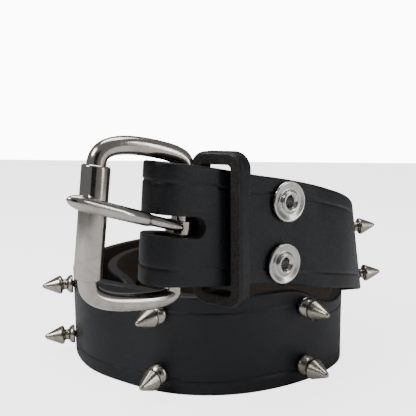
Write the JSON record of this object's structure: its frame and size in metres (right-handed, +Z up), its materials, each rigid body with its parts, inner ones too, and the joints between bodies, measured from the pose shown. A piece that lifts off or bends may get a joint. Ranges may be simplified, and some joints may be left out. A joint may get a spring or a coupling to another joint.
{
  "type": "studded leather belt",
  "caption": "Thick black leather belt with cone spikes, a roller buckle and a keeper loop, standing on edge in a loose coil.",
  "frame": {"origin": "middle of the coil's bounding box, on the surface it stands on", "axes": "+Z up through the coil, -Y towards the side with the buckle and keeper, +X to the right seen from the buckle side"},
  "size_m": [0.1568, 0.1924, 0.0941],
  "materials": {
    "leather": "black bridle leather with a soft satin sheen, fine grain, creased border lines and bare grey-brown edges",
    "buckle_nickel": "polished nickel plate with a warm cast",
    "spike_nickel": "turned nickel-plated steel, slightly dulled",
    "snap_steel": "bright pressed nickel, brushed flange"
  },
  "bodies": {
    "belt": {"strap": "leather", "keeper": "leather", "snap_lower": "snap_steel", "snap_upper": "snap_steel", "spike_lower_1": "spike_nickel", "spike_upper_1": "spike_nickel", "spike_lower_2": "spike_nickel", "spike_upper_2": "spike_nickel", "spike_lower_3": "spike_nickel", "spike_upper_3": "spike_nickel", "spike_lower_4": "spike_nickel", "spike_upper_4": "spike_nickel", "spike_lower_5": "spike_nickel", "spike_upper_5": "spike_nickel", "spike_lower_6": "spike_nickel", "spike_upper_6": "spike_nickel", "spike_lower_7": "spike_nickel", "spike_upper_7": "spike_nickel"},
    "buckle": {"buckle_frame": "buckle_nickel"},
    "roller": {"roller": "buckle_nickel"},
    "prong": {"prong": "buckle_nickel"}
  },
  "joints": [
    {"name": "buckle_hinge", "type": "hinge", "parent": "belt", "child": "buckle", "pos_m": [-0.0155, -0.06762, 0.06531], "axis": [0.0849, 0.0318, 0.9959], "range_deg": [-40, 30]},
    {"name": "prong_hinge", "type": "hinge", "parent": "buckle", "child": "prong", "pos_m": [-0.0155, -0.06762, 0.06531], "axis": [0.0849, 0.0318, 0.9959], "range_deg": [0, 45]},
    {"name": "roller_spin", "type": "hinge", "parent": "buckle", "child": "roller", "pos_m": [-0.03909, -0.08485, 0.06937], "axis": [0.0849, 0.0318, 0.9959], "continuous": true}
  ]
}
